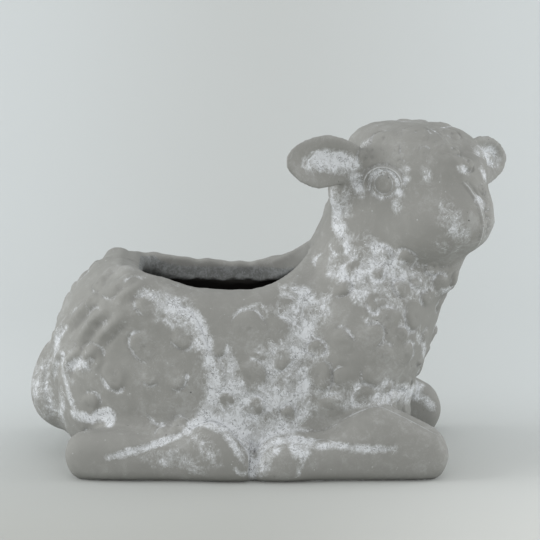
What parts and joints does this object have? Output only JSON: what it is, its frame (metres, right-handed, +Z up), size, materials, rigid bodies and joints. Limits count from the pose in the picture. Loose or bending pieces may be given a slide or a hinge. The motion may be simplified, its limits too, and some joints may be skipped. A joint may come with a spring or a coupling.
{
  "type": "lamb statue planter",
  "caption": "Cast stone planter in the form of a resting lamb, open along its back for soil and plants, with a plugged drain.",
  "frame": {"origin": "centre of the footprint, on the surface that the planter stands on", "axes": "+X from the tail to the breast, +Y to the lamb's left, +Z up"},
  "size_m": [0.4068, 0.1992, 0.2884],
  "materials": {
    "cast_stone": "matt grey casting, dry-brushed with white wash in the hollows",
    "raw_stone": "raw, unpainted",
    "plug_rubber": "matt"
  },
  "bodies": {
    "casting": {"trunk_shell": "cast_stone", "base_plate": "raw_stone", "forequarters": "cast_stone", "head": "cast_stone", "right_ear": "cast_stone", "left_ear": "cast_stone", "right_foreleg": "cast_stone", "left_foreleg": "cast_stone", "right_hindleg": "cast_stone", "left_hindleg": "cast_stone", "tail": "cast_stone"},
    "plug": {"drain_plug": "plug_rubber"}
  },
  "joints": [
    {"name": "plug_lift", "type": "slide", "parent": "casting", "child": "plug", "axis": [0, 0, 1], "range_m": [0, 0.3]}
  ]
}
